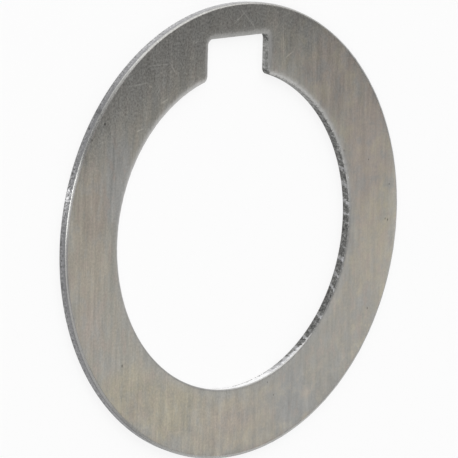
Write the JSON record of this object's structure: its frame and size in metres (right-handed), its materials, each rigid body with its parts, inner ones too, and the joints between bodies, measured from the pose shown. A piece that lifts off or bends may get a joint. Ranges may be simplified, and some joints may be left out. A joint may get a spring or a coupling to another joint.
{
  "type": "spacer ring",
  "caption": "Flat steel spacer ring with a plain bore and one keyway, which slides onto a keyed arbor to set the distance between cutters.",
  "frame": {"origin": "centre of the back face, on the axis of the bore", "axes": "+Z along the axis of the bore, out of the front face with the rolled edges; +Y towards the keyway"},
  "size_m": [0.046, 0.046, 0.001],
  "materials": {
    "steel": "brushed"
  },
  "bodies": {
    "root": {"spacer_ring": "steel"}
  },
  "joints": []
}
